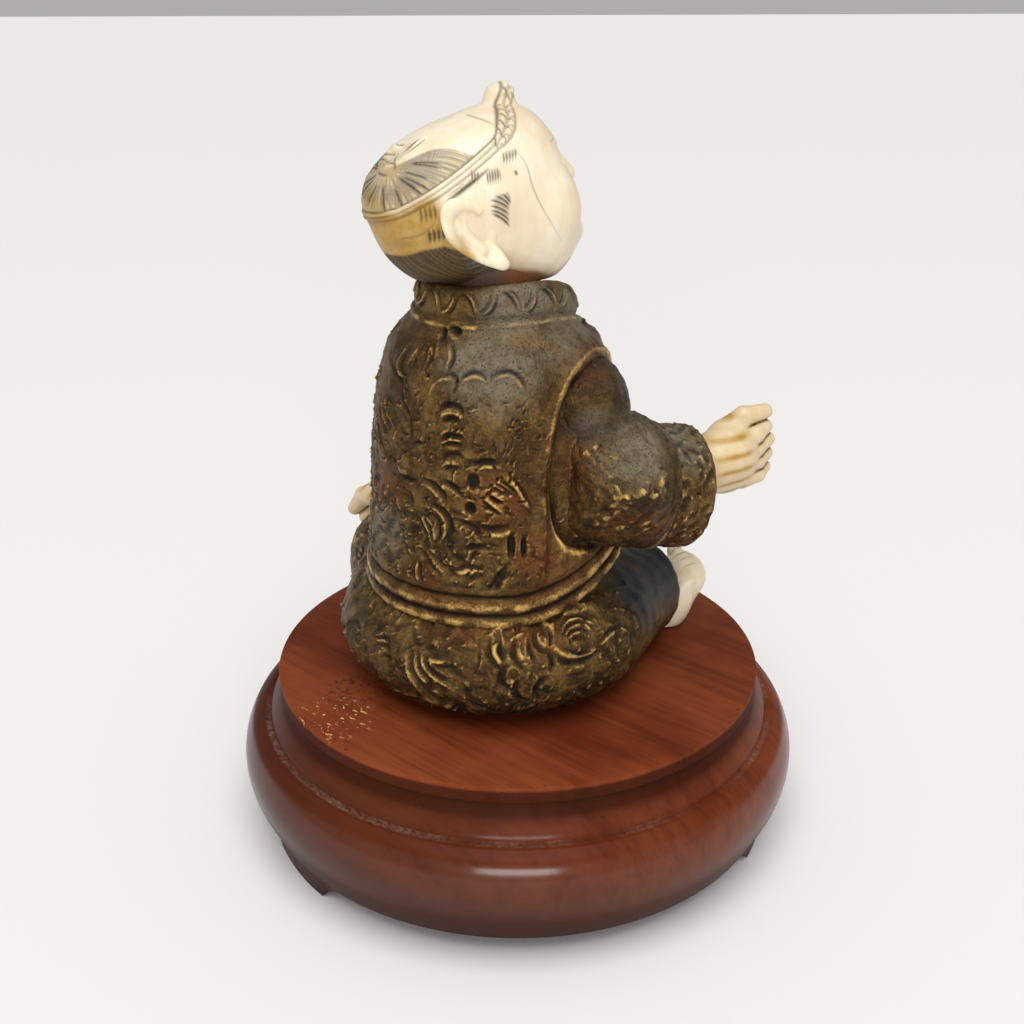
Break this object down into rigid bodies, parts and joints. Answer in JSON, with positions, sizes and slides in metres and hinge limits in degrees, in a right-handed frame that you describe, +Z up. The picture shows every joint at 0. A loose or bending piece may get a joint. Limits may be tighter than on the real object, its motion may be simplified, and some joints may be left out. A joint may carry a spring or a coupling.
{
  "type": "seated boy figure on a stand",
  "caption": "Small bronze figure of a seated child in a long coat, with carved ivory-coloured head, hands and feet, on a round turned wooden stand.",
  "frame": {"origin": "centre of the stand's underside, level with the bottoms of its feet", "axes": "+Z up through the head, -Y the way the chest faces, -X the figure's right"},
  "size_m": [0.0812, 0.0814, 0.1033],
  "materials": {
    "wood": "polished reddish-brown hardwood",
    "bronze": "cast bronze with a worn olive-gold surface and dark brown patina in the hollows",
    "ivory_coloured": "polished cream with fine dark lines and ochre stains; stands in for a carved ivory-coloured material"
  },
  "bodies": {
    "root": {"wood_stand": "wood", "bronze_figure": "bronze", "head": "ivory_coloured", "right_hand": "ivory_coloured", "left_hand": "ivory_coloured", "right_foot": "ivory_coloured", "left_foot": "ivory_coloured"}
  },
  "joints": []
}
